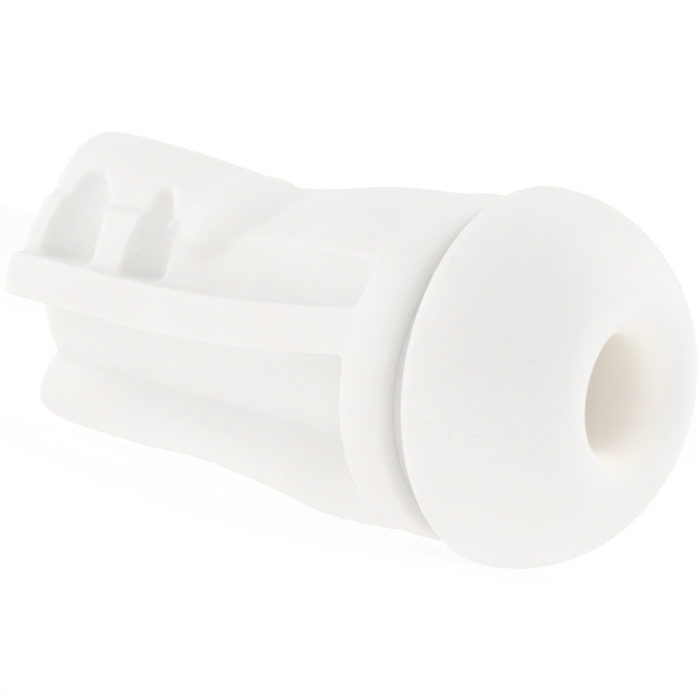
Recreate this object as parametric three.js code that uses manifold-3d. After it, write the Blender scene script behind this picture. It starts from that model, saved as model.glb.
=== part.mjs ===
// A soft moulded sleeve: a domed head with a round mouth on a short neck, and a
// ribbed body behind it. Millimetres, +X from the tail to the head, +Z up.
// The body, neck and head are one casting in the real thing. Here each feature of
// the casting is a solid of its own, so the head can bend on the neck.
import * as THREE from 'three';
import { mergeVertices } from 'three/addons/utils/BufferGeometryUtils.js';
import Module from 'manifold-3d';

const wasm = await Module();
wasm.setup();

// ---- driving dimensions, measured along X from the collar's back shoulder ----
const bodyLength = 96;          // tail end to the collar's back shoulder
const collarLength = 11;        // collar, shoulder to front face
const neckGap = 4.7;            // collar's front face to the head's flat underside
const rimDepth = 4;             // head's underside to its widest circle
const domeDepth = 31.2;         // height of the ellipse that the dome follows
const headTilt = 3;             // degrees, the head sits nose up on its neck

const boreRadius = 11.5;
const coreRadius = 24.5;
const coreEndRound = 3.5;       // rounding of the core's edge at the tail
const collarRadius = 34.8;
const collarBead = 0.6;         // how far the bead stands proud of the collar
const neckRadius = 29;
const headRadius = 38;
const lipStart = 50;            // degrees round the dome where it starts to roll into the mouth

const railHeight = 10.2;        // above the core, as each height below is
const railWidth = 9.8;
const railAngle = -6.8;         // degrees above the level through the axis, at the tail
const railRise = 6.1;           // how far the rail climbs before it meets the collar
const railRiseLength = 65;
const railCorner = 2;

const ribHeight = 6.7;
const tailRibWidth = 19.4;      // tail end to the deepest line of the scoop
const middleRibWidth = 18.3;

const scoopRun = 14;            // hollow that runs down from the tail rib to the middle rib
const scoopPlace = 19.5;        // tail end to its deepest line
const scoopSweep = 0.02;        // how fast its top sweeps back towards the tail
const slotRun = 8;              // narrower hollow that runs down to the boss
const slotPlace = 38;
const slotSweep = 0.015;
const hollowEdge = 1.6;         // deepest line to the steep side that faces the tail
const hollowHeight = 40;
const hollowDepth = 14;
const hollowCentre = 6.3;       // above the core
const hollowZ = 2;

const topLobeLength = 41;       // tail end to the top lobe's front step
const lobeTopHalf = 13;         // half width of the lobe's crowned top
const lobeShoulderHalf = 19.8;
const lobeRootHalf = 25.9;
const lobeShoulderDrop = 3.9;   // the lobe's shoulder and root, below its top
const lobeRootDrop = 15.1;
const lobeCrown = 0.8;          // fall of the crowned top from its middle to its edge

const saddleLowerAngle = 29;    // degrees above the level through the axis
const shelfFoot = 2.2;          // the shelf's nearly upright face at its foot, above the core
const shelfFootZ = -1.2;
const shelfStep = 0.4;          // how far the shelf's upper edge lies below the saddle

const bossLength = 27;          // swelling on each flank, below the lobe's front step
const bossWidth = 23;
const bossDepth = 18;
const bossHeight = 8.6;
const bossPlace = 49.5;         // tail end to its middle
const bossReach = 5;           // how far it reaches below the saddle's lower edge
const bossLean = 24;            // degrees that its top leans towards the tail
const bossSquareness = 0.75;    // 1 is an egg, less is squarer

const keelRootHalf = 13.7;
const keelRootZ = -14.7;
const keelHalf = 16.8;
const keelHeight = 10.5;        // at its end, above the core
const keelCorner = 6;
const keelLand = 6;             // half width of the flat strip that it lies on

const gap = 0.3;                // left between neighbouring solids
const overrun = 5;              // how far a cutter reaches past what it cuts
const roundSegments = 60;
const arcSegments = 6;

// Heights above the core along the body, as [share of the body's length
// from the tail to the collar, height]: the back, the saddle's flanks and the keel.
const backLine = [[0, 7.6], [0.21, 6.2], [0.37, 4.7], [0.48, 3.7], [0.58, 4.4],
  [0.7, 6.5], [0.8, 8.4], [1, 9.9]];
const flankLine = [[0, 6.5], [0.48, 6.5], [0.7, 7.5], [0.9, 9.1], [1, 9.9]];
const keelLine = [[0, 10.5], [0.25, 10.4], [0.42, 9.5], [0.56, 10], [0.69, 11],
  [0.81, 12.4], [0.9, 12.2], [1, 11.4]];

// ---- derived places ----
const tail = -bodyLength;
const collarFront = collarLength;
const headBack = collarFront + neckGap;
const equator = headBack + rimDepth;
const farOut = headRadius + overrun;
const railRadius = coreRadius + railHeight;
const ribRadius = coreRadius + ribHeight;
const keelRadius = coreRadius + keelHeight;
const shelfFootY = coreRadius + shelfFoot;
const lobeTop = coreRadius + backLine[0][1];
const lobeFloor = lobeTop - lobeRootDrop - 2;
const radians = THREE.MathUtils.degToRad;

// ---- helpers ----
function toSolid(geometry) {
  const bare = geometry.clone();
  bare.deleteAttribute('normal');
  bare.deleteAttribute('uv');
  const merged = mergeVertices(bare, 1e-4);
  return new wasm.Manifold(new wasm.Mesh({
    numProp: 3,
    vertProperties: new Float32Array(merged.attributes.position.array),
    triVerts: new Uint32Array(merged.index.array),
  }));
}

function toGeometry(solid) {
  const mesh = solid.getMesh();
  const geometry = new THREE.BufferGeometry();
  geometry.setAttribute('position', new THREE.BufferAttribute(mesh.vertProperties, 3));
  geometry.setIndex(new THREE.BufferAttribute(mesh.triVerts, 1));
  geometry.computeVertexNormals();
  return geometry;
}

// A smooth radius along X, through stations [share of the body's length, height].
function follow(line) {
  const stations = line.map(([share, height]) => [tail + (share * bodyLength),
    coreRadius + height]);
  const slope = stations.map((_, i) => {
    const before = stations[Math.max(i - 1, 0)];
    const after = stations[Math.min(i + 1, stations.length - 1)];
    return (after[1] - before[1]) / (after[0] - before[0]);
  });
  return (x) => {
    const last = stations.length - 2;
    let i = stations.findIndex((station) => station[0] >= x) - 1;
    i = Math.min(Math.max(i, 0), last);
    const span = stations[i + 1][0] - stations[i][0];
    const t = THREE.MathUtils.clamp((x - stations[i][0]) / span, 0, 1);
    const a = (2 * t ** 3) - (3 * t ** 2) + 1;
    const b = (t ** 3) - (2 * t ** 2) + t;
    const c = (t ** 3) - (t ** 2);
    return (a * stations[i][1]) + (b * span * slope[i])
      + ((1 - a) * stations[i + 1][1]) + (c * span * slope[i + 1]);
  };
}

// An outline drawn in Y and Z, swept along X in a number of steps.
function sweepAlongX(outline, fromX, toX, steps = 1) {
  const options = { depth: toX - fromX, steps, bevelEnabled: false, curveSegments: arcSegments };
  const geometry = new THREE.ExtrudeGeometry(outline, options);
  const turn = new THREE.Matrix4().set(0, 0, 1, fromX, 1, 0, 0, 0, 0, 1, 0, 0, 0, 0, 0, 1);
  return geometry.applyMatrix4(turn);
}

// An outline drawn in X and Z, swept along Y.
function sweepAlongY(outline, fromY, toY) {
  const options = { depth: toY - fromY, bevelEnabled: false, curveSegments: 2 * arcSegments };
  const geometry = new THREE.ExtrudeGeometry(outline, options);
  return geometry.rotateX(Math.PI / 2).translate(0, toY, 0);
}

// A closed profile of [x, r] points turned about the X axis.
function turnAboutX(profile) {
  const points = profile.map(([x, r]) => new THREE.Vector2(r, x));
  points.push(points[0].clone());
  return new THREE.LatheGeometry(points, roundSegments).rotateZ(-Math.PI / 2);
}

// A solid disc about the X axis.
function disc(radius, fromX, toX) {
  return turnAboutX([[fromX, 0], [fromX, radius], [toX, radius], [toX, 0]]);
}

// Moves each vertex of a geometry by a function of its place.
function reshape(geometry, move) {
  const { position } = geometry.attributes;
  const point = new THREE.Vector3();
  for (let i = 0; i < position.count; i += 1) {
    point.fromBufferAttribute(position, i);
    move(point);
    position.setXYZ(i, point.x, point.y, point.z);
  }
  return geometry;
}

// A wedge about the X axis on one side (-1 front, 1 back), between two angles
// measured up from the rail plane.
function wedge(side, fromAngle, toAngle, fromX, toX) {
  const corner = (angle) => [side * farOut * Math.cos(radians(angle)),
    farOut * Math.sin(radians(angle))];
  const outline = new THREE.Shape();
  outline.moveTo(0, 0);
  outline.lineTo(...corner(fromAngle));
  outline.lineTo(...corner((fromAngle + toAngle) / 2));
  outline.lineTo(...corner(toAngle));
  return sweepAlongX(outline, fromX, toX);
}

// An outline that is the same on both sides, from its half on the +Y side.
function bothSides(half) {
  const points = half.getPoints(arcSegments);
  const other = points.filter((point) => point.x > 0).reverse();
  const mirrored = other.map((point) => new THREE.Vector2(-point.x, point.y));
  return new THREE.Shape([...points, ...mirrored]);
}

// Points on an arc of a circle or ellipse, angles in degrees from +X towards +r.
function arc(centreX, centreR, sizeX, sizeR, fromAngle, toAngle, steps) {
  return Array.from({ length: steps + 1 }, (_, i) => {
    const angle = radians(fromAngle + ((toAngle - fromAngle) * i / steps));
    return [centreX + (sizeX * Math.cos(angle)), centreR + (sizeR * Math.sin(angle))];
  });
}

// ---- the sleeve's body ----
function coreSolid() {
  const round = arc(tail + coreEndRound, coreRadius - coreEndRound,
    coreEndRound, coreEndRound, 180, 90, arcSegments);
  return toSolid(turnAboutX([[tail, boreRadius], ...round,
    [collarFront, coreRadius], [collarFront, boreRadius]]));
}

// What the features round the core are cut back to, so that they clear it.
const coreClearance = toSolid(disc(coreRadius + gap, tail - overrun, collarFront + overrun));

function collarSolid() {
  const middle = collarLength / 2;
  const bead = arc(middle, collarRadius, middle - 1.5, collarBead, 180, 0, 4);
  const frontRound = arc(collarFront - 1.5, collarRadius - 1.5, 1.5, 1.5, 90, 0, 3);
  return toSolid(turnAboutX([[0, coreRadius + gap], [0, collarRadius], ...bead,
    ...frontRound, [collarFront, coreRadius + gap]]));
}

function topLobeSolid() {
  const shoulderZ = lobeTop - lobeShoulderDrop;
  const half = new THREE.Path();
  half.moveTo(0, lobeTop);
  half.quadraticCurveTo(lobeTopHalf / 2, lobeTop, lobeTopHalf, lobeTop - lobeCrown);
  half.quadraticCurveTo(lobeShoulderHalf - 2.5, lobeTop - (2 * lobeCrown),
    lobeShoulderHalf, shoulderZ);
  half.quadraticCurveTo(lobeRootHalf - 1.5, shoulderZ - 4, lobeRootHalf, lobeTop - lobeRootDrop);
  half.lineTo(lobeRootHalf, lobeFloor);
  half.lineTo(0, lobeFloor);
  const height = follow(backLine);
  const front = tail + topLobeLength;
  const block = reshape(sweepAlongX(bothSides(half), tail, front, 6), (point) => {
    const stretch = (height(point.x) - lobeFloor) / (lobeTop - lobeFloor);
    point.z = lobeFloor + ((point.z - lobeFloor) * stretch);
  });
  const lobe = cutHollows(cutHollows(toSolid(block), -1), 1);
  return lobe.subtract(coreClearance);
}

function saddleSolid() {
  const back = tail + topLobeLength + gap;
  const front = -gap;
  const height = follow(backLine);
  const flank = follow(flankLine);
  const steps = 12;
  const rim = Array.from({ length: steps + 1 }, (_, i) => [back + ((front - back) * i / steps), 1]);
  const oval = reshape(turnAboutX([[back, 0], ...rim, [front, 0]]), (point) => {
    point.y *= flank(point.x);
    point.z *= height(point.x);
  });
  const outline = new THREE.Shape();
  const edge = radians(saddleLowerAngle);
  outline.moveTo(0, 0);
  outline.lineTo(farOut * Math.cos(edge), farOut * Math.sin(edge));
  outline.lineTo(farOut * Math.cos(edge), 2 * farOut);
  outline.lineTo(-farOut * Math.cos(edge), 2 * farOut);
  outline.lineTo(-farOut * Math.cos(edge), farOut * Math.sin(edge));
  return toSolid(oval)
    .intersect(toSolid(sweepAlongX(outline, back - overrun, front + overrun)))
    .subtract(coreClearance)
    .subtract(bossShape(-1, gap))
    .subtract(bossShape(1, gap));
}

function keelSolid() {
  const cornerZ = -Math.sqrt(((keelRadius - keelCorner) ** 2) - ((keelHalf - keelCorner) ** 2));
  const landZ = -Math.sqrt((keelRadius ** 2) - (keelLand ** 2));
  const cornerTurn = Math.atan2(cornerZ, keelHalf - keelCorner);
  const half = new THREE.Path();
  half.moveTo(0, keelRootZ);
  half.lineTo(keelRootHalf, keelRootZ);
  half.lineTo(keelHalf, cornerZ);
  half.absarc(keelHalf - keelCorner, cornerZ, keelCorner, 0, cornerTurn, true);
  half.absarc(0, 0, keelRadius, cornerTurn, Math.atan2(landZ, keelLand), true);
  half.lineTo(0, landZ);
  const radius = follow(keelLine);
  const block = reshape(sweepAlongX(bothSides(half), tail, -gap, 15), (point) => {
    const size = radius(point.x) / keelRadius;
    point.y *= size;
    point.z *= size;
  });
  return toSolid(block).subtract(coreClearance);
}

// One side rail, grown all round by a clearance where it is used as a cutter.
function railShape(side, grown) {
  const low = -(railWidth / 2) - grown;
  const high = (railWidth / 2) + grown;
  const start = tail - grown;
  const bend = -railRiseLength / 2;
  const outline = new THREE.Shape();
  outline.moveTo(start + railCorner, low);
  outline.lineTo(-railRiseLength, low);
  outline.quadraticCurveTo(bend, low, 0, railRise + low);
  outline.lineTo(overrun, railRise + low);
  outline.lineTo(overrun, railRise + high);
  outline.lineTo(0, railRise + high);
  outline.quadraticCurveTo(bend, high, -railRiseLength, high);
  outline.lineTo(start + railCorner, high);
  outline.absarc(start + railCorner, high - railCorner, railCorner, Math.PI / 2, Math.PI, false);
  outline.absarc(start + railCorner, low + railCorner, railCorner, Math.PI, 1.5 * Math.PI, false);
  const near = side * boreRadius;
  const far = side * farOut;
  const bar = sweepAlongY(outline, Math.min(near, far), Math.max(near, far));
  return toSolid(bar.rotateX(side * radians(railAngle)));
}

function railSolid(side) {
  return railShape(side, 0)
    .intersect(toSolid(disc(railRadius, tail - overrun, -gap)))
    .subtract(coreClearance);
}

// A hollow on one flank: half an egg that runs down from the tail's side to a steep far
// side, bent round the body, with its top swept back towards the tail.
function hollowShape(side, place, run, sweep) {
  const egg = reshape(new THREE.SphereGeometry(1, 28, 18), (point) => {
    point.x *= point.x < 0 ? run : hollowEdge;
    point.y *= hollowDepth / 2;
    point.z *= hollowHeight / 2;
    point.x -= sweep * (Math.max(point.z, 0) ** 2);
    point.y -= side * (point.z ** 2) / (2 * ribRadius);
  }).translate(tail + place, side * (coreRadius + hollowCentre), hollowZ);
  return toSolid(egg);
}

function cutHollows(solid, side) {
  return solid.subtract(hollowShape(side, scoopPlace, scoopRun, scoopSweep))
    .subtract(hollowShape(side, slotPlace, slotRun, slotSweep));
}

// A cross rib between the rail and the lobe, over a stretch from the tail end.
function ribSolid(side, start, width) {
  const ring = turnAboutX([[tail + start, boreRadius], [tail + start, ribRadius],
    [tail + start + width, ribRadius], [tail + start + width, boreRadius]]);
  const sector = toSolid(wedge(side, railAngle, saddleLowerAngle + 14, tail - overrun, 0));
  const rib = toSolid(ring)
    .intersect(sector)
    .subtract(coreClearance)
    .subtract(railShape(side, gap))
    .subtract(lobeClearance)
    .subtract(bossShape(side, gap));
  return cutHollows(rib, side);
}

function bossShape(side, grown) {
  const radius = coreRadius + bossHeight - (bossDepth / 2);
  const angle = radians(saddleLowerAngle) + (((bossWidth / 2) - bossReach) / radius);
  const squarer = (value) => Math.sign(value) * (Math.abs(value) ** bossSquareness);
  const ball = reshape(new THREE.SphereGeometry(1, 28, 18), (point) => {
    point.set(squarer(point.x), squarer(point.y), squarer(point.z));
  })
    .scale((bossLength / 2) + grown, (bossDepth / 2) + grown, (bossWidth / 2) + grown)
    .rotateY(-radians(bossLean))
    .rotateX(side * angle)
    .translate(tail + bossPlace, side * radius * Math.cos(angle), radius * Math.sin(angle));
  return toSolid(ball);
}

function bossSolid(side) {
  const boss = bossShape(side, 0).subtract(coreClearance).subtract(lobeClearance);
  return boss.subtract(hollowShape(side, slotPlace, slotRun, slotSweep));
}

// The nearly upright wall between a rail and the saddle's lower edge.
function shelfSolid(side) {
  const start = tail + slotPlace;
  const edge = radians(saddleLowerAngle);
  const lift = gap / Math.cos(edge);
  const nearY = boreRadius;
  const topZ = (y) => (y * Math.tan(edge)) - lift;
  const outline = new THREE.Shape();
  outline.moveTo(side * nearY, shelfFootZ);
  outline.lineTo(side * shelfFootY, shelfFootZ);
  outline.lineTo(side * shelfFootY, topZ(shelfFootY));
  outline.lineTo(side * nearY, topZ(nearY));
  const flank = follow(flankLine);
  const wall = reshape(sweepAlongX(outline, start, -gap, 8), (point) => {
    const up = (point.z - shelfFootZ) / (topZ(shelfFootY) - shelfFootZ);
    if (Math.abs(point.y) > nearY && up > 0.5) {
      const y = (flank(point.x) * Math.cos(edge)) - shelfStep;
      point.y = side * y;
      point.z = topZ(y);
    }
  });
  return toSolid(wall)
    .subtract(coreClearance)
    .subtract(railShape(side, gap))
    .subtract(bossShape(side, gap));
}

// ---- neck and head, which share the head's tilt ----
const noseUp = new THREE.Matrix4().makeRotationY(-radians(headTilt));

function neckSolid() {
  const start = collarFront + gap;
  const middle = (collarFront + headBack) / 2;
  const groove = arc(middle, neckRadius + 2, neckGap / 2, 2, 180, 360, arcSegments);
  const band = toSolid(turnAboutX([[start, boreRadius], ...groove.slice(1, -1),
    [headBack + overrun, neckRadius + 2], [headBack + overrun, boreRadius]]));
  const behindHead = disc(farOut, -overrun, headBack - gap).applyMatrix4(noseUp);
  return band.intersect(toSolid(behindHead));
}

function headGeometry() {
  const start = radians(lipStart);
  const onDome = [equator + (domeDepth * Math.sin(start)), headRadius * Math.cos(start)];
  const slope = new THREE.Vector2(Math.sin(start) / domeDepth, Math.cos(start) / headRadius)
    .normalize();
  const lipRadius = (onDome[1] - boreRadius) / (1 + slope.y);
  const lipX = onDome[0] - (lipRadius * slope.x);
  const lipR = onDome[1] - (lipRadius * slope.y);
  const lipTurn = THREE.MathUtils.radToDeg(Math.atan2(slope.y, slope.x));
  const rim = arc(equator, headRadius - rimDepth, rimDepth, rimDepth, 180, 90, 4);
  const dome = arc(equator, 0, domeDepth, headRadius, 90, 90 - lipStart, 10);
  const lip = arc(lipX, lipR, lipRadius, lipRadius, lipTurn, -90, 7);
  return turnAboutX([[headBack, boreRadius], ...rim, ...dome.slice(1), ...lip.slice(1)]);
}

// ---- assembly ----
const elastomer = () => new THREE.MeshStandardMaterial({
  color: 0xf2efe9, roughness: 0.55, metalness: 0,
});
const sleeve = new THREE.Group();
const head = new THREE.Group();

function addPiece(parent, name, geometry) {
  const piece = new THREE.Mesh(geometry, elastomer());
  piece.name = name;
  parent.add(piece);
}

const lobe = topLobeSolid();
const lobeClearance = toSolid(sweepAlongX(new THREE.Shape([
  new THREE.Vector2(-farOut, lobeFloor - gap),
  new THREE.Vector2(farOut, lobeFloor - gap),
  new THREE.Vector2(farOut, 2 * farOut),
  new THREE.Vector2(-farOut, 2 * farOut),
]), tail - overrun, tail + topLobeLength + gap));

addPiece(sleeve, 'core_tube', toGeometry(coreSolid()));
addPiece(sleeve, 'collar', toGeometry(collarSolid()));
addPiece(sleeve, 'top_lobe', toGeometry(lobe));
addPiece(sleeve, 'saddle', toGeometry(saddleSolid()));
addPiece(sleeve, 'keel', toGeometry(keelSolid()));
for (const [place, side] of [['front', -1], ['back', 1]]) {
  addPiece(sleeve, `${place}_rail`, toGeometry(railSolid(side)));
  addPiece(sleeve, `${place}_tail_rib`, toGeometry(ribSolid(side, 0, tailRibWidth)));
  addPiece(sleeve, `${place}_middle_rib`,
    toGeometry(ribSolid(side, tailRibWidth + gap, middleRibWidth)));
  addPiece(sleeve, `${place}_boss`, toGeometry(bossSolid(side)));
  addPiece(sleeve, `${place}_shelf`, toGeometry(shelfSolid(side)));
}
addPiece(sleeve, 'neck_band', toGeometry(neckSolid()));
addPiece(head, 'domed_head', headGeometry());
head.rotation.y = -radians(headTilt);

const model = new THREE.Group();
model.add(sleeve, head);
const box = new THREE.Box3().setFromObject(model);
model.position.set(-(box.min.x + box.max.x) / 2, 0, -box.min.z);

export default model;
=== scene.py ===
import math

import bmesh
import bpy
from bpy.props import FloatProperty, FloatVectorProperty, IntProperty, PointerProperty
from mathutils import Matrix, Vector


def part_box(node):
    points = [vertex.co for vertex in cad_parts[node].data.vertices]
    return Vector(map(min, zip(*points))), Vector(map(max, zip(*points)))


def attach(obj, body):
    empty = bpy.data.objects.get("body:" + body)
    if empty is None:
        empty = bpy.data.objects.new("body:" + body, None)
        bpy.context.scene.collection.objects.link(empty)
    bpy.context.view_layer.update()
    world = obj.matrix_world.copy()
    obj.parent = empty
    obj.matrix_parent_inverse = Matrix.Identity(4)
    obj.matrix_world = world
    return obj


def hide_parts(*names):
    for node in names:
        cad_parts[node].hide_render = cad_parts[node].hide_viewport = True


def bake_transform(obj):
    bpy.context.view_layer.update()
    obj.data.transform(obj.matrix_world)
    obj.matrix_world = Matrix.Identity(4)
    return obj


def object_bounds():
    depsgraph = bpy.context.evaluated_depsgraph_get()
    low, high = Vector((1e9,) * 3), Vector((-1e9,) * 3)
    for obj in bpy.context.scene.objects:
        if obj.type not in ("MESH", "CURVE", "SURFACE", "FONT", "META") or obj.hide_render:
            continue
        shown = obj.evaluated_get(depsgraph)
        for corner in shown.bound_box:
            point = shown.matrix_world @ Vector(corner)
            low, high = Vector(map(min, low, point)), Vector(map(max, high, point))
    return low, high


bl_info = {
    "name": "Finned elastomer sleeve",
    "version": (1, 0, 0),
    "blender": (4, 5, 0),
    "location": "3D View > Sidebar > Sleeve",
    "description": "Soft skin, neck, bore and domed head of a finned elastomer sleeve",
    "category": "Add Mesh",
}

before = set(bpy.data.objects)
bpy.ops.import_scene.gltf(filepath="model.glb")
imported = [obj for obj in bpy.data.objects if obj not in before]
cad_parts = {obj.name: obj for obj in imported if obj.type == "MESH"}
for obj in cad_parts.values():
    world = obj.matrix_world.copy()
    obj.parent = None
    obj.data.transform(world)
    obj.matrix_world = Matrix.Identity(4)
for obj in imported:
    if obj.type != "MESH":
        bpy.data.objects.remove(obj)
cad_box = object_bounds()

# Places taken from the frame. The body's axis runs along X at AXIS_Z.
COLLAR_LOW, COLLAR_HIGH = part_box("collar")
SHOULDER = COLLAR_LOW[0]
COLLAR_FRONT = COLLAR_HIGH[0]
AXIS_Z = (COLLAR_LOW[2] + COLLAR_HIGH[2]) / 2
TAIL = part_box("core_tube")[0][0]
HEAD_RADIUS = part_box("domed_head")[1][1]
MM = 0.001

# Sizes of the elastomer's patterns, in repeats to the metre
CLOUD_SCALE = 38
BORE_CLOUD_SCALE = 90
SWELL_SCALE = 95
SPECK_PATCH_SCALE = 150
MOTTLE_SCALE = 260
STREAK_SCALE = 330
SPECK_SCALE = 340
PORE_SCALE = 620
GRAIN_SCALE = 2600

# Relief of the elastomer's patterns, in millimetres
SWELL_RELIEF = 0.16
MOTTLE_RELIEF = 0.03
GRAIN_RELIEF = 0.008
PORE_RELIEF = 0.035
SPECK_RELIEF = 0.03

# Steps round the body's axis
NECK_STEPS = 144
BORE_STEPS = 96
HEAD_STEPS = 192

MERGE_DISTANCE = 0.001 * MM     # points of a spun shape that count as one
FACET_DISTANCE = 0.002 * MM     # points of neighbouring facets that count as one
FEWEST_SKIN_FACES = 10000

# Sizes and places of the soft lights, and the floor's half width, in metres
KEY_SIZE = 0.5
KEY_PLACE = (0.34, 0.42, 0.6)
SIDE_SIZE = 0.4
SIDE_PLACE = (-0.62, -0.42, 0.42)
FLOOR_HALF = 6
FLOOR_CELLS = 8
FLOOR_GREY = 0.25
FLOOR_GLOW = 0.75

SIDES = ("front", "back")
FLANK_NODES = ("rail", "tail_rib", "middle_rib", "boss", "shelf")
SKIN_NODES = ["core_tube", "collar", "top_lobe", "saddle", "keel"]
SKIN_NODES += [f"{side}_{name}" for side in SIDES for name in FLANK_NODES]


# ---- settings ----
class SkinSettings(bpy.types.PropertyGroup):
    """The moulded skin of the finned body and its collar."""

    voxel: FloatProperty(name="Grain", description="Size of the faces that the skin is made of",
                         default=0.75 * MM, min=0.3 * MM, subtype="DISTANCE", precision=5)
    bridge: FloatProperty(name="Bridge", description="How far each feature is grown to meet the next",
                          default=0.3 * MM, min=0.16 * MM, subtype="DISTANCE", precision=5)
    passes: IntProperty(name="Softness", description="Smoothing passes that round the edges and creases",
                        default=7, min=1, max=60)


class NeckSettings(bpy.types.PropertyGroup):
    """The groove between the collar and the head."""

    gap: FloatProperty(name="Groove width", description="From the collar's front to the head's underside",
                       default=4.7 * MM, subtype="DISTANCE")
    radius: FloatProperty(name="Groove radius", description="Radius of the neck at the groove's floor",
                          default=29 * MM, subtype="DISTANCE")
    depth: FloatProperty(name="Groove round",
                         description="How far the groove's floor curves up at its sides",
                         default=2 * MM, subtype="DISTANCE")
    sunk: FloatProperty(name="Sunk", description="How far each end of the neck runs into its neighbour",
                        default=3.5 * MM, subtype="DISTANCE")


class BoreSettings(bpy.types.PropertyGroup):
    """The bore that runs from the tail to the mouth."""

    radius: FloatProperty(name="Bore radius", description="Radius of the bore",
                          default=11.5 * MM, subtype="DISTANCE")
    lining: FloatProperty(name="Lining",
                          description="How far the bore's own wall stands in from the mouldings",
                          default=0.2 * MM, subtype="DISTANCE", precision=5)
    wall: FloatProperty(name="Wall", description="Thickness of the bore's own wall",
                        default=0.8 * MM, subtype="DISTANCE", precision=5)


class HeadSettings(bpy.types.PropertyGroup):
    """The domed head and its rolled mouth."""

    tilt: FloatProperty(name="Nose up", description="How far the head is tilted on its neck",
                        default=math.radians(3), subtype="ANGLE")
    rim: FloatProperty(name="Rim", description="From the flat underside to the widest circle",
                       default=4 * MM, subtype="DISTANCE")
    dome: FloatProperty(name="Dome", description="Height of the ellipse that the dome follows",
                        default=31.2 * MM, subtype="DISTANCE")
    lip_start: FloatProperty(name="Lip start", description="Where the dome starts to roll into the mouth",
                             default=math.radians(50), subtype="ANGLE")


class LookSettings(bpy.types.PropertyGroup):
    """Colours and surface of the elastomer, with the painted warm shade, bounce light and glow in its
    throat.
    """

    white: FloatVectorProperty(name="White", description="The moulding's own colour", subtype="COLOR",
                               size=3, min=0, max=1, default=(0.93, 0.925, 0.905))
    shade: FloatVectorProperty(name="Shade", description="Colour of its slightly yellower clouds",
                               subtype="COLOR", size=3, min=0, max=1, default=(0.915, 0.90, 0.872))
    # Painted light: the warm shade and bounce light inside the bore and the mouth are painted in this
    # colour, and the painted glow there takes this colour too.
    painted_throat_warmth: FloatVectorProperty(name="Throat", description="Colour inside the bore", subtype="COLOR",
                                size=3, min=0, max=1, default=(0.92, 0.89, 0.845))
    speck: FloatVectorProperty(name="Speck", description="Colour of the dust specks", subtype="COLOR",
                               size=3, min=0, max=1, default=(0.56, 0.54, 0.50))
    roughness: FloatProperty(name="Roughness", description="Roughness of the matte skin",
                             default=0.5, min=0, max=1)
    # Painted glow: emission in the bore and the mouth that stands in for light coming through the walls,
    # though no part there is a lamp.
    painted_glow: FloatProperty(name="Throat glow", description="Light that comes through the walls into the bore",
                        default=0.085, min=0, max=1)
    softness: FloatProperty(name="Translucency", description="Share of the light that scatters inside",
                            default=0.35, min=0, max=1)


class StageSettings(bpy.types.PropertyGroup):
    """Camera, light and floor."""

    azimuth: FloatProperty(name="Azimuth", description="Camera's direction, from in front towards the head",
                           default=math.radians(38.4), subtype="ANGLE")
    elevation: FloatProperty(name="Elevation", description="Camera's height above the level",
                             default=math.radians(1.7), subtype="ANGLE")
    roll: FloatProperty(name="Roll", description="Turn of the camera about its own axis",
                        default=math.radians(13.5), subtype="ANGLE")
    distance: FloatProperty(name="Distance", description="From the camera to what it looks at",
                            default=0.52, subtype="DISTANCE")
    behind: FloatProperty(name="Aim behind the collar", description="What it looks at, along the axis",
                          default=26 * MM, subtype="DISTANCE")
    below: FloatProperty(name="Aim below the axis", description="What it looks at, below the axis",
                         default=2.6 * MM, subtype="DISTANCE")
    view: FloatProperty(name="Field of view", description="Angle across the picture",
                        default=math.radians(16), subtype="ANGLE")
    key: FloatProperty(name="Key light", description="Power of the large soft light", default=1.2,
                       subtype="POWER", min=0)
    side: FloatProperty(name="Side light", description="Power of the light beyond the tail", default=1.1,
                        subtype="POWER", min=0)
    fill: FloatProperty(name="Fill", description="Light that the surround gives, less than it shows",
                        default=0.78, min=0)


class SleeveSettings(bpy.types.PropertyGroup):
    """All the sleeve's settings."""

    skin: PointerProperty(type=SkinSettings)
    neck: PointerProperty(type=NeckSettings)
    bore: PointerProperty(type=BoreSettings)
    head: PointerProperty(type=HeadSettings)
    look: PointerProperty(type=LookSettings)
    stage: PointerProperty(type=StageSettings)


# ---- shader helpers ----
class Field:
    """A socket of a material's node tree that can be used in sums."""

    def __init__(self, net, socket):
        self.net = net
        self.socket = socket

    def maths(self, operation, first, second):
        return self.net.node("ShaderNodeMath", {"operation": operation}, {0: first, 1: second})

    def __add__(self, other):
        return self.maths("ADD", self, other)

    def __radd__(self, other):
        return self.maths("ADD", other, self)

    def __sub__(self, other):
        return self.maths("SUBTRACT", self, other)

    def __rsub__(self, other):
        return self.maths("SUBTRACT", other, self)

    def __mul__(self, other):
        return self.maths("MULTIPLY", self, other)

    def __rmul__(self, other):
        return self.maths("MULTIPLY", other, self)


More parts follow.
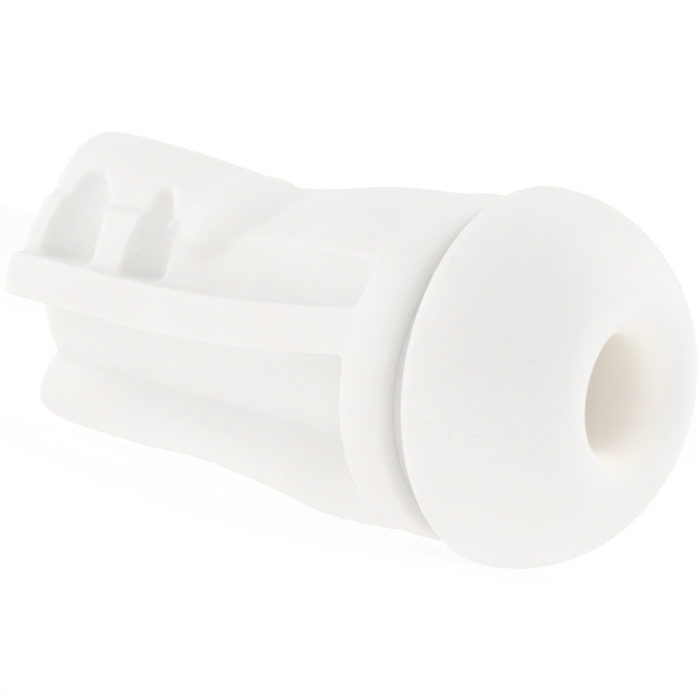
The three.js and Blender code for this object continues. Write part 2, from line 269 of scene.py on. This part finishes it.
class Net:
    """A material under construction."""

    def __init__(self, name):
        self.material = bpy.data.materials.new(name)
        self.material.use_nodes = True
        self.tree = self.material.node_tree
        self.shader = self.tree.nodes["Principled BSDF"]

    def node(self, kind, settings=None, inputs=None, output=0):
        """Adds a node, applies its settings, fills its sockets and returns one output."""
        new = self.tree.nodes.new(kind)
        for key, value in (settings or {}).items():
            setattr(new, key, value)
        for key, value in (inputs or {}).items():
            self.fill(new.inputs[key], value)
        return Field(self, new.outputs[output])

    def fill(self, socket, value):
        if isinstance(value, Field):
            self.tree.links.new(value.socket, socket)
        else:
            socket.default_value = value

    def noise(self, place, scale, detail=2.0, roughness=0.5):
        values = {"Vector": place, "Scale": scale, "Detail": detail, "Roughness": roughness}
        return self.node("ShaderNodeTexNoise", None, values, "Fac")

    def cells(self, place, scale, output="Distance"):
        return self.node("ShaderNodeTexVoronoi", None, {"Vector": place, "Scale": scale}, output)

    def ramp(self, value, start, end, low=0.0, high=1.0):
        """A soft step from low to high as value goes from start to end."""
        values = {"Value": value, "From Min": start, "From Max": end, "To Min": low, "To Max": high}
        return self.node("ShaderNodeMapRange", {"interpolation_type": "SMOOTHSTEP"}, values, "Result")

    def mix(self, factor, first, second):
        """Mixes two colours, whose sockets are 6 and 7 of the node, with its result in output 2."""
        return self.node("ShaderNodeMix", {"data_type": "RGBA"}, {0: factor, 6: first, 7: second}, 2)

    def part(self, vector, axis):
        return self.node("ShaderNodeSeparateXYZ", None, {"Vector": vector}, axis)


def opaque(colour):
    return (*colour, 1.0)


def elastomer(name, look, painted_warmth=None, gloss=None):
    """Matte, slightly translucent white elastomer. painted_warmth and gloss are functions that take the net
    and the place and return a share of painted warm shade, bounce light and glow, and of a glossy polish."""
    net = Net(name)
    place = net.node("ShaderNodeTexCoord", output="Object")
    cloud = net.ramp(net.noise(place, CLOUD_SCALE, 3, 0.55), 0.36, 0.66)
    mottle = net.noise(place, MOTTLE_SCALE, 3, 0.6)
    grain = net.noise(place, GRAIN_SCALE, 2, 0.5)
    swell = net.noise(place, SWELL_SCALE, 1, 0.4)
    patch = net.ramp(net.noise(place, SPECK_PATCH_SCALE, 1, 0.5), 0.55, 0.62)
    speck = net.ramp(net.cells(place, SPECK_SCALE), 0.05, 0.11, 1, 0) * patch
    pore = net.ramp(net.cells(place, PORE_SCALE), 0.06, 0.2, 1, 0) * net.ramp(mottle, 0.5, 0.62)

    colour = net.mix(cloud * 0.8 + mottle * 0.2, opaque(look.white), opaque(look.shade))
    # Painted light: this share mixes in the throat's colour as painted warm shade and bounce light, and
    # paints a glow by emission in the same places.
    if painted_warmth:
        share = painted_warmth(net, place)
        colour = net.mix(share, colour, opaque(look.painted_throat_warmth))
        painted_glow = net.mix(share, opaque((0, 0, 0)), opaque(look.painted_throat_warmth))
        net.fill(net.shader.inputs["Emission Color"], painted_glow)
        net.shader.inputs["Emission Strength"].default_value = look.painted_glow
    colour = net.mix(speck * 0.22, colour, opaque(look.speck))
    roughness = look.roughness - 0.06 + mottle * 0.12 + grain * 0.05
    if gloss:
        roughness = roughness - gloss(net, place) * 0.15
    raised = swell * SWELL_RELIEF + mottle * MOTTLE_RELIEF + grain * GRAIN_RELIEF
    height = raised - pore * PORE_RELIEF - speck * SPECK_RELIEF
    bump = net.node("ShaderNodeBump", None, {"Strength": 0.9, "Distance": MM, "Height": height}, "Normal")

    shader = net.shader
    net.fill(shader.inputs["Base Color"], colour)
    net.fill(shader.inputs["Roughness"], roughness)
    net.fill(shader.inputs["Normal"], bump)
    shader.inputs["IOR"].default_value = 1.42
    shader.inputs["Specular IOR Level"].default_value = 0.4
    shader.inputs["Subsurface Weight"].default_value = look.softness
    shader.inputs["Subsurface Radius"].default_value = (1.0, 0.7, 0.5)
    shader.inputs["Subsurface Scale"].default_value = 2.5 * MM
    return net.material


def mouth_painted_warmth(settings):
    """Painted warm shade and bounce light, with the painted glow, deepening from the rolled lip into the
    mouth.
    """
    bore = settings.bore.radius
    lip_width = 5 * MM

    def painted_warmth(net, place):
        origin = (SHOULDER, 0, AXIS_Z)
        turned = net.node("ShaderNodeMapping", {"vector_type": "TEXTURE"},
                          {"Vector": place, "Location": origin, "Rotation": (0, -settings.head.tilt, 0)})
        across = net.node("ShaderNodeVectorMath", {"operation": "MULTIPLY"}, {0: turned, 1: (0, 1, 1)})
        radius = net.node("ShaderNodeVectorMath", {"operation": "LENGTH"}, {0: across}, "Value")
        return net.ramp(radius, bore + lip_width, bore, 0, 1)

    return painted_warmth


def bore_painted_warmth(net, place):
    """Painted warm shade, bounce light and glow all along the bore, a little deeper in some places than in
    others at random.
    """
    return net.noise(place, BORE_CLOUD_SCALE) * 0.3 + 0.7


def bead_gloss(net, place):
    """Broken streaks of polish along the collar's bead."""
    off = net.node("ShaderNodeMath", {"operation": "ABSOLUTE"},
                   {0: net.part(place, "X") - (SHOULDER + COLLAR_FRONT) / 2})
    streak = net.ramp(net.noise(place, STREAK_SCALE, 3, 0.6), 0.45, 0.6)
    return net.ramp(off, 0.3 * MM, 2.2 * MM, 1, 0) * streak


# ---- mesh helpers ----
def arc(centre, size, start, end, steps):
    """Points [x, r] on an arc of an ellipse, angles in degrees from +X towards +r."""
    points = []
    for i in range(steps + 1):
        angle = math.radians(start + (end - start) * i / steps)
        points.append((centre[0] + size[0] * math.cos(angle), centre[1] + size[1] * math.sin(angle)))
    return points


def spun(profile, steps):
    """A closed ring spun about the body's axis from a closed outline of [x, r] points."""
    bm = bmesh.new()
    ring = [bm.verts.new((SHOULDER + x, 0, AXIS_Z + r)) for x, r in profile]
    edges = [bm.edges.new((ring[i], ring[(i + 1) % len(ring)])) for i in range(len(ring))]
    bmesh.ops.spin(bm, geom=ring + edges, cent=(0, 0, AXIS_Z), axis=(1, 0, 0), angle=2 * math.pi,
                   steps=steps, use_merge=True)
    bmesh.ops.remove_doubles(bm, verts=bm.verts, dist=MERGE_DISTANCE)
    bmesh.ops.recalc_face_normals(bm, faces=bm.faces)
    return bm


def nod(bm, tilt, start=None, end=None):
    """Tilts a shape nose up about the body's origin: all of it, or more and more from start to end."""
    origin = Vector((SHOULDER, 0, AXIS_Z))
    for vert in bm.verts:
        share = 1.0
        if start is not None:
            share = min(max((vert.co.x - SHOULDER - start) / (end - start), 0), 1)
            share = share * share * (3 - 2 * share)
        vert.co = origin + Matrix.Rotation(-tilt * share, 3, "Y") @ (vert.co - origin)


def finished(bm, name, material):
    """Turns a bmesh into a smooth shaded object with its material."""
    mesh = bpy.data.meshes.new(name)
    bm.to_mesh(mesh)
    bm.free()
    mesh.materials.append(material)
    mesh.polygons.foreach_set("use_smooth", [True] * len(mesh.polygons))
    piece = bpy.data.objects.new(name, mesh)
    bpy.context.collection.objects.link(piece)
    return piece


def applied(piece):
    """Replaces a piece's mesh by what its modifiers make of it."""
    graph = bpy.context.evaluated_depsgraph_get()
    mesh = bpy.data.meshes.new_from_object(piece.evaluated_get(graph))
    piece.modifiers.clear()
    piece.data = mesh
    mesh.polygons.foreach_set("use_smooth", [True] * len(mesh.polygons))


# ---- pieces ----
class SLEEVE_OT_skin(bpy.types.Operator):
    """Makes the finned body and collar as one soft moulding"""

    bl_idname = "sleeve.skin"
    bl_label = "Body skin"

    def execute(self, context):
        settings = context.scene.sleeve
        skin = settings.skin
        bm = bmesh.new()
        for name in SKIN_NODES:
            bm.from_mesh(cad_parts[name].data)
        bmesh.ops.remove_doubles(bm, verts=bm.verts, dist=FACET_DISTANCE)
        piece = finished(bm, "body_skin", elastomer("white_elastomer", settings.look, gloss=bead_gloss))
        grow = piece.modifiers.new("Grow", "DISPLACE")
        grow.mid_level = 0
        grow.strength = skin.bridge
        remesh = piece.modifiers.new("Merge", "REMESH")
        remesh.mode = "VOXEL"
        remesh.voxel_size = skin.voxel
        soften = piece.modifiers.new("Soften", "SMOOTH")
        soften.factor = 0.5
        soften.iterations = skin.passes
        shrink = piece.modifiers.new("Shrink", "DISPLACE")
        shrink.mid_level = 0
        shrink.strength = -skin.bridge
        applied(piece)
        if len(piece.data.polygons) < FEWEST_SKIN_FACES:
            raise RuntimeError("The body skin came out with too few faces")
        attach(piece, "sleeve")
        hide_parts(*SKIN_NODES)
        return {"FINISHED"}


class SLEEVE_OT_neck(bpy.types.Operator):
    """Makes the grooved neck that bends between the collar and the head"""

    bl_idname = "sleeve.neck"
    bl_label = "Neck"

    def execute(self, context):
        settings = context.scene.sleeve
        neck = settings.neck
        bore = settings.bore.radius
        front = COLLAR_FRONT - SHOULDER
        back = front + neck.gap
        shoulder_radius = neck.radius + neck.depth
        groove = arc((front + neck.gap / 2, shoulder_radius), (neck.gap / 2, neck.depth), 180, 360, 24)
        inner = bore + 2 * MM
        profile = [(front - neck.sunk, inner), (front - neck.sunk, shoulder_radius), *groove,
                   (back + neck.sunk, shoulder_radius), (back + neck.sunk, inner)]
        bm = spun(profile, NECK_STEPS)
        nod(bm, settings.head.tilt, front, back)
        piece = finished(bm, "neck_skin", elastomer("neck_elastomer", settings.look))
        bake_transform(piece)
        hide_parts("neck_band")
        return {"FINISHED"}


class SLEEVE_OT_bore(bpy.types.Operator):
    """Makes the wall of the bore, from the tail to the mouth"""

    bl_idname = "sleeve.bore"
    bl_label = "Bore wall"

    def execute(self, context):
        settings = context.scene.sleeve
        bore = settings.bore
        front = COLLAR_FRONT - SHOULDER
        back = front + settings.neck.gap
        tail = TAIL - SHOULDER
        inner = bore.radius - bore.lining
        outer = bore.radius + bore.wall
        ease = 4 * MM               # stretch at each end over which the wall flares out
        ease_steps = 6
        steps = 60
        start = tail + MM
        end = back + settings.head.rim
        along = [start + ease + (end - start - 2 * ease) * i / steps for i in range(steps + 1)]
        flare = bore.lining + 0.3 * MM
        eased = [i / ease_steps for i in range(ease_steps + 1)]
        inside = [(start + ease * t, inner + flare * (1 - t) ** 2) for t in eased[:-1]]
        inside += [(x, inner) for x in along]
        inside += [(end - ease * (1 - t), inner + flare * t ** 2) for t in eased[1:]]
        profile = inside + [(end, outer), *((x, outer) for x in reversed(along)), (start, outer)]
        bm = spun(profile, BORE_STEPS)
        nod(bm, settings.head.tilt, front, back)
        # The bore's material paints warm shade, bounce light and a glow all along the bore.
        material = elastomer("bore_painted_warmth_elastomer", settings.look, painted_warmth=bore_painted_warmth)
        piece = finished(bm, "bore_wall", material)
        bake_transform(piece)
        return {"FINISHED"}


class SLEEVE_OT_head(bpy.types.Operator):
    """Makes the domed head with its rim and rolled mouth"""

    bl_idname = "sleeve.head"
    bl_label = "Domed head"

    def execute(self, context):
        settings = context.scene.sleeve
        head = settings.head
        bore = settings.bore.radius
        under = COLLAR_FRONT - SHOULDER + settings.neck.gap
        equator = under + head.rim
        start = math.degrees(head.lip_start)
        on_dome = (equator + head.dome * math.sin(head.lip_start), HEAD_RADIUS * math.cos(head.lip_start))
        slope = Vector((math.sin(head.lip_start) / head.dome,
                        math.cos(head.lip_start) / HEAD_RADIUS)).normalized()
        roll = (on_dome[1] - bore) / (1 + slope.y)
        centre = (on_dome[0] - roll * slope.x, on_dome[1] - roll * slope.y)
        lip_from = math.degrees(math.atan2(slope.y, slope.x))
        rim = arc((equator, HEAD_RADIUS - head.rim), (head.rim, head.rim), 180, 90, 12)
        dome = arc((equator, 0), (head.dome, HEAD_RADIUS), 90, 90 - start, 48)
        lip = arc(centre, (roll, roll), lip_from, -90, 36)
        steps = 12
        painted_throat_warmth = [(centre[0] + (under - centre[0]) * i / steps, bore) for i in range(1, steps + 1)]
        face = [(under, bore + (HEAD_RADIUS - head.rim - bore) * i / steps) for i in range(1, steps)]
        bm = spun([*rim, *dome[1:], *lip[1:], *painted_throat_warmth, *face], HEAD_STEPS)
        nod(bm, head.tilt)
        # The head's material paints warm shade, bounce light and a glow into the rolled lip and the mouth.
        material = elastomer("head_elastomer", settings.look, painted_warmth=mouth_painted_warmth(settings))
        piece = finished(bm, "head_shell", material)
        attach(piece, "head")
        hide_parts("domed_head")
        return {"FINISHED"}


# ---- stage ----
def area_light(name, power, size, place, aim):
    light = bpy.data.lights.new(name, "AREA")
    light.energy = power
    light.size = size
    lamp = bpy.data.objects.new(name, light)
    lamp.location = place
    lamp.rotation_euler = (Vector(aim) - Vector(place)).to_track_quat("-Z", "Y").to_euler()
    bpy.context.collection.objects.link(lamp)


class SLEEVE_OT_stage(bpy.types.Operator):
    """Makes the pale floor, the white surround, the soft lights and the camera"""

    bl_idname = "sleeve.stage"
    bl_label = "Stage"

    def execute(self, context):
        stage = context.scene.sleeve.stage
        aim = Vector((SHOULDER - stage.behind, 0, AXIS_Z - stage.below))
        self.camera(context, stage, aim)
        self.surround(context, stage)
        self.floor()
        area_light("key_light", stage.key, KEY_SIZE, KEY_PLACE, aim)
        area_light("side_light", stage.side, SIDE_SIZE, SIDE_PLACE, aim)
        return {"FINISHED"}

    def camera(self, context, stage, aim):
        level = math.cos(stage.elevation)
        back = Vector((math.sin(stage.azimuth) * level, -math.cos(stage.azimuth) * level,
                       math.sin(stage.elevation)))
        right = Vector((0, 0, 1)).cross(back).normalized()
        turn = Matrix((right, back.cross(right), back)).transposed() @ Matrix.Rotation(stage.roll, 3, "Z")
        data = bpy.data.cameras.new("camera")
        data.angle = stage.view
        data.clip_start = 0.01
        camera = bpy.data.objects.new("camera", data)
        camera.matrix_world = Matrix.Translation(aim + back * stage.distance) @ turn.to_4x4()
        context.collection.objects.link(camera)
        context.scene.camera = camera

    def surround(self, context, stage):
        world = bpy.data.worlds.new("white_surround")
        world.use_nodes = True
        nodes = world.node_tree.nodes
        links = world.node_tree.links
        seen = nodes["Background"]
        seen.inputs["Color"].default_value = (1, 1, 1, 1)
        lighting = nodes.new("ShaderNodeBackground")
        lighting.inputs["Color"].default_value = (1, 1, 1, 1)
        lighting.inputs["Strength"].default_value = stage.fill
        either = nodes.new("ShaderNodeMixShader")
        links.new(nodes.new("ShaderNodeLightPath").outputs["Is Camera Ray"], either.inputs["Fac"])
        links.new(lighting.outputs["Background"], either.inputs[1])
        links.new(seen.outputs["Background"], either.inputs[2])
        links.new(either.outputs["Shader"], nodes["World Output"].inputs["Surface"])
        context.scene.world = world
        context.scene.view_settings.view_transform = "Standard"

    def floor(self):
        bm = bmesh.new()
        bmesh.ops.create_grid(bm, x_segments=FLOOR_CELLS, y_segments=FLOOR_CELLS, size=FLOOR_HALF)
        bmesh.ops.translate(bm, verts=bm.verts, vec=(0, 0, cad_box[0][2]))
        net = Net("pale_floor")
        net.shader.inputs["Base Color"].default_value = opaque((FLOOR_GREY,) * 3)
        net.shader.inputs["Roughness"].default_value = 0.9
        net.shader.inputs["Specular IOR Level"].default_value = 0.1
        net.shader.inputs["Emission Color"].default_value = (1, 1, 1, 1)
        net.shader.inputs["Emission Strength"].default_value = FLOOR_GLOW
        finished(bm, "floor", net.material)


class SLEEVE_PT_panel(bpy.types.Panel):
    """Lists the sleeve's pieces"""

    bl_idname = "SLEEVE_PT_panel"
    bl_label = "Finned sleeve"
    bl_space_type = "VIEW_3D"
    bl_region_type = "UI"
    bl_category = "Sleeve"

    def draw(self, context):
        for operator in OPERATORS:
            self.layout.operator(operator.bl_idname)


SETTINGS = (SkinSettings, NeckSettings, BoreSettings, HeadSettings, LookSettings, StageSettings,
            SleeveSettings)
OPERATORS = (SLEEVE_OT_stage, SLEEVE_OT_skin, SLEEVE_OT_neck, SLEEVE_OT_bore, SLEEVE_OT_head)
CLASSES = (*SETTINGS, *OPERATORS, SLEEVE_PT_panel)


def register():
    for each in CLASSES:
        bpy.utils.register_class(each)
    bpy.types.Scene.sleeve = PointerProperty(type=SleeveSettings)


def unregister():
    del bpy.types.Scene.sleeve
    for each in reversed(CLASSES):
        bpy.utils.unregister_class(each)


def main():
    register()
    bpy.ops.sleeve.stage()
    bpy.ops.sleeve.skin()
    bpy.ops.sleeve.neck()
    bpy.ops.sleeve.bore()
    bpy.ops.sleeve.head()


if __name__ == "__main__":
    main()
